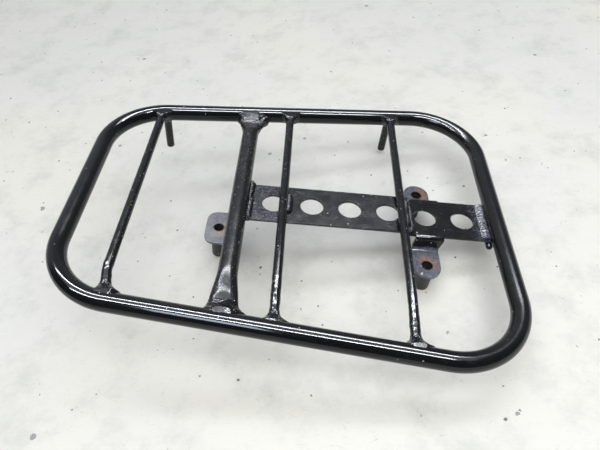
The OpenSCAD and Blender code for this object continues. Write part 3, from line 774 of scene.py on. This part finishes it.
def rod_path(rod, step=1.5):
    """Centre line of a rod, from the right side tube to the left one."""
    _, angle, radius, _ = RODS[rod]
    start, rolled, tip, way, straight = rod_frame(rod)
    end_y = side_y(start.x) - END_GAP
    count = round((end_y - start.y) / (3 * step))
    path = [Vector((start.x, end_y + (start.y - end_y) * i / count, ROD_Z)) for i in range(count)]
    bend = math.radians(angle)
    count = max(round(radius * bend / step), 6)
    for i in range(count):
        turn = bend * i / count
        path.append(start + rolled @ Vector((0, -radius * math.sin(turn), -radius * (1 - math.cos(turn)))))
    reach = straight + TUBE_R * ROD_SINK
    count = round(reach / step)
    path += [start + rolled @ (tip + way * reach * i / count) for i in range(count + 1)]
    return path


def wave_height(spot, closeness, height):
    """Slow uneven wave at a place, up to about the given height."""
    return noise.noise(spot * closeness) * height


def make_rod(rod):
    """A cross rod with the slight waves that bending and welding leave near its left end."""
    sides = 32
    path = rod_path(rod)
    rings = []
    for i, middle in enumerate(path):
        way = (path[min(i + 1, len(path) - 1)] - path[max(i - 1, 0)]).normalized()
        side = way.cross(Vector((0, 0, 1))).normalized()
        up = side.cross(way)
        near_end = ease((-middle.y - inner_y(middle.x) + END_WAVE_LENGTH) / END_WAVE_EASE)
        ring = []
        for k in range(sides):
            turn = 2 * math.pi * k / sides
            out = side * math.cos(turn) + up * math.sin(turn)
            spot = middle + out * 3
            wave = wave_height(spot, *END_WAVE) * near_end + wave_height(spot, *ROD_WAVE)
            ring.append(at(*(middle + out * (ROD_R - ROD_EASE + wave))))
        rings.append(ring)
    mesh = skin(rod + "_bar", rings, False)
    put_piece(rod + "_bar", mesh, rod)


def weld_skirt(node, start, way, section, reach, length, squash, pitch=2.4):
    """Weld laid round a bar where it meets the loop, flaring smoothly onto it with crescent ripples.

    start is where the bar meets the loop's inner face, way points into the loop, and section(turn)
    gives the bar's own outline."""
    side = way.cross(Vector((0, 0, 1))).normalized()
    up = side.cross(way)
    sides = 120
    rings = []
    sink = TUBE_R * COLLAR_SINK
    steps = round((length + sink) / COLLAR_STEP)
    for i in range(steps + 1):
        along = -length + (length + sink) * i / steps
        climb = min(max((along + length) / length, 0), 1)
        ring = []
        for k in range(sides):
            turn = 2 * math.pi * k / sides
            base = section(turn)
            out = side * math.cos(turn) + up * math.sin(turn) * squash
            lobes = noise.noise(Vector((math.cos(turn), math.sin(turn), 0)) * 1.4 + start * 0.37)
            spread = reach * climb ** COLLAR_CURVE * (1 + COLLAR_LOBES * lobes)
            place = start + way * along + side * base[0] + up * base[1] + out * (spread + COLLAR_RIM)
            arc = turn * (abs(base[0]) + abs(base[1]) + spread) * 0.8
            wave = math.cos(2 * math.pi * (arc + COLLAR_BOW * along * along) / pitch)
            lump = noise.noise(place * 0.3) + 0.5 * noise.noise(place * 0.75)
            place += out * (COLLAR_RIPPLE * wave + COLLAR_LUMP * lump) * min(climb * 3, 1)
            place.z = min(place.z, TUBE_R * COLLAR_TOP)
            ring.append(at(*place))
        rings.append(ring)
    mesh = skin(node + "_bead", rings, False)
    put_piece(node + "_bead", mesh, node)


def rod_section(turn):
    """Outline of a rod."""
    return ROD_R * math.cos(turn), ROD_R * math.sin(turn)


def flat_section(turn):
    """Outline of the cross tube's pressed end."""
    power = 2 / (2 - PRESSED_CROWN)
    c, s = math.cos(turn), math.sin(turn)
    return (math.copysign(abs(c) ** power, c) * (FLARE_W / 2 - FLARE_EASE),
            math.copysign(abs(s) ** power, s) * (FLARE_H / 2 - FLARE_EASE))


def weld_rod(rod):
    """Weld collars where a rod meets the two side tubes."""
    start, rolled, tip, way, straight = rod_frame(rod)
    weld_skirt(rod + "_weld_left", start + rolled @ (tip + way * straight), rolled @ way,
               rod_section, **ROD_LEFT_COLLAR)
    x = rod_x(rod)
    weld_skirt(rod + "_weld_right", Vector((x, inner_y(x), ROD_Z)), Vector((0, 1, 0)),
               rod_section, **ROD_RIGHT_COLLAR)


def weld_cross_tube():
    """Weld collars where the cross tube's pressed ends meet the two side tubes."""
    for name, sign in (("left", -1), ("right", 1)):
        start = Vector((CROSS_X, sign * inner_y(CROSS_X), -FLARE_DROP))
        weld_skirt("cross_tube_weld_" + name, start, Vector((0, sign, 0)), flat_section, **CROSS_TUBE_COLLAR)


make_loop()
make_cross_tube()
for rod in RODS:
    make_rod(rod)
    weld_rod(rod)
weld_cross_tube()
for name, (node, width) in SHEETS.items():
    eased_sheet(name, node, width)
for node, bead in BEADS.items():
    weld_piece(node, **bead)


# Floor, through the lower faces of the three spacers

def foot(node):
    """Middle of a spacer's lower face, in metres."""
    low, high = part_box(node)
    return Vector(((low[0] + high[0]) / 2, (low[1] + high[1]) / 2, low[2]))


# Half of the floor's side, in metres.
FLOOR_HALF = 3.0

front_foot = foot("front_spacer")
left_foot = foot("rear_spacer_left")
right_foot = foot("rear_spacer_right")
floor_up = (right_foot - left_foot).cross(front_foot - left_foot).normalized()
if floor_up.z < 0:
    floor_up.negate()

floor_mesh = bpy.data.meshes.new("floor")
floor_corners = [(x * FLOOR_HALF, y * FLOOR_HALF, 0) for x, y in ((-1, -1), (1, -1), (1, 1), (-1, 1))]
floor_mesh.from_pydata(floor_corners, [], [(0, 1, 2, 3)])
floor = bpy.data.objects.new("floor", floor_mesh)
bpy.context.scene.collection.objects.link(floor)
floor.matrix_world = (Matrix.Translation(front_foot)
                      @ Vector((0, 0, 1)).rotation_difference(floor_up).to_matrix().to_4x4())

floor_finish, w, shader = start_material("Pale scuffed floor")
spot = w.place()
warm = w.fade(w.clouds(spot, 0.0035, 3.0, 0.5), 0.35, 0.65)
pale = w.blend(warm, FLOOR_COOL, FLOOR_WARM)
pale = w.blend(w.fade(w.clouds(spot, 0.018, 8.0, 0.72), 0.45, 0.70, 0.0, 0.6), pale, FLOOR_SMUDGE)
pale = w.blend(w.fade(w.clouds(spot, 0.07, 6.0, 0.75), 0.60, 0.76, 0.0, 0.6), pale, FLOOR_STAIN)
pale = w.blend(w.use(scratches, Amount=0.45, Width=0.012)["Mask"], pale, FLOOR_SCRATCH)
pale = w.blend(w.use(chips, Amount=0.026, Size=1.6, Gathering=0.7)["Mask"], pale, FLOOR_SPECK)
pale = w.blend(w.use(chips, Amount=0.02, Size=4.0, Gathering=0.9)["Mask"], pale, FLOOR_CHIP)
w.plug(shader.inputs["Base Color"], pale)
shader.inputs["Roughness"].default_value = 0.55
shader.inputs["Specular IOR Level"].default_value = 0.2
floor.data.materials.append(floor_finish)


# Lamps, in metres and watts: rows of ceiling tubes, a pale ceiling, two windows and wide soft lights

COOL_WHITE = (0.90, 0.94, 1.0)
WARM_WHITE = (1.0, 0.99, 0.97)
WINDOW_BLUE = (0.72, 0.86, 1.0)
LAMP_HEIGHT = 2.2

# Each row's place across the rack, its middle along the rack and its length.
LAMP_ROWS = {
    "far_row": (0.88, -0.67, 3.25),
    "near_row": (-0.55, -0.94, 3.3),
}
ROW_SHINE_WIDTH = 0.13
ROW_SHINE_PER_METRE = 49
ROW_LIGHT_WIDTH = 0.5
ROW_LIGHT_POWER = 14.5
ROW_LIGHT_SHIFT = 0.3


def lamp(name, place, size_x, size_y, power, colour=(1, 1, 1), diffuse=False):
    """Flat lamp tilted toward the rack's middle line, seen either as soft light or in reflections only."""
    light = bpy.data.lights.new(name, "AREA")
    light.shape = "RECTANGLE"
    light.size = size_x
    light.size_y = size_y
    light.energy = power
    light.color = colour
    made = bpy.data.objects.new(name, light)
    made.location = place
    made.rotation_euler = (-math.atan2(place[1], place[2]), 0, 0)
    made.visible_diffuse = diffuse
    made.visible_glossy = not diffuse
    made.visible_camera = False
    bpy.context.scene.collection.objects.link(made)


for name, (y, middle_x, length) in LAMP_ROWS.items():
    lamp(name + "_shine", (middle_x, y, LAMP_HEIGHT), length, ROW_SHINE_WIDTH,
         ROW_SHINE_PER_METRE * length, COOL_WHITE)
    lamp(name + "_light", (middle_x + ROW_LIGHT_SHIFT, y, LAMP_HEIGHT), length, ROW_LIGHT_WIDTH,
         ROW_LIGHT_POWER, diffuse=True)
lamp("ceiling_light", (0.1, -0.6, LAMP_HEIGHT), 3.0, 2.6, 33, WARM_WHITE, diffuse=True)
lamp("near_light", (0.35, -0.9, 1.1), 1.2, 1.0, 5.5, WARM_WHITE, diffuse=True)
lamp("ceiling_shine", (-0.6, 0.16, LAMP_HEIGHT), 3.6, 1.2, 24, COOL_WHITE)
lamp("window_shine", (-0.75, -1.75, LAMP_HEIGHT), 0.7, 0.9, 30, WINDOW_BLUE)
lamp("back_window_shine", (0.25, 1.06, 1.88), 0.9, 0.18, 10, COOL_WHITE)


# Room: dark behind the camera, paler at the back, and plain white where the camera looks past the floor

ROOM_DARK = 0.08

# The room's colour at the brightness that follows it.
ROOM_COLOUR = (1.9, 1.98, 2.12, 1)
ROOM_BRIGHTNESS = 2.0
BLACK = (0.0, 0.0, 0.0, 1)
WHITE = (1.0, 1.0, 1.0, 1)

world = bpy.data.worlds.new("room")
bpy.context.scene.world = world
world.use_nodes = True
world.node_tree.nodes.clear()
w = Wiring(world.node_tree)
toward = w.parts(w.node("ShaderNodeTexCoord").outputs["Generated"])
back = w.fade(toward["Y"], 0.0, 0.35)
low_wall = w.fade(toward["Z"], 0.80, 0.58, to_low=0.30, to_high=0.48)
left_side = w.fade(toward["X"], 0.42, -0.20, to_low=0.35, to_high=1.0)
bright = w.sum("ADD", ROOM_DARK, w.times(back, w.times(low_wall, left_side)))
room = w.blend(w.sum("DIVIDE", bright, ROOM_BRIGHTNESS), BLACK, ROOM_COLOUR)
around = w.node("ShaderNodeBackground", {"Color": room, "Strength": 1.0})
seen = w.node("ShaderNodeBackground", {"Color": WHITE, "Strength": 1.0})
mixed = w.node("ShaderNodeMixShader")
w.plug(mixed.inputs[0], w.node("ShaderNodeLightPath").outputs["Is Camera Ray"])
w.plug(mixed.inputs[1], around.outputs[0])
w.plug(mixed.inputs[2], seen.outputs[0])
w.plug(w.node("ShaderNodeOutputWorld").inputs["Surface"], mixed.outputs[0])


# Camera

camera_data = bpy.data.cameras.new("camera")
camera_data.sensor_width = SENSOR_WIDTH
camera_data.lens = FOCAL_PIXELS / PHOTO_WIDTH * SENSOR_WIDTH
camera_data.clip_start = 0.01
camera_data.clip_end = 50
camera = bpy.data.objects.new("camera", camera_data)
bpy.context.scene.collection.objects.link(camera)
axes = Matrix((CAMERA_RIGHT, [-v for v in CAMERA_DOWN], [-v for v in CAMERA_FORWARD])).transposed().to_4x4()
camera.matrix_world = Matrix.Translation(at(*CAMERA_PLACE)) @ axes
bpy.context.scene.camera = camera
bpy.context.scene.view_settings.view_transform = "Standard"
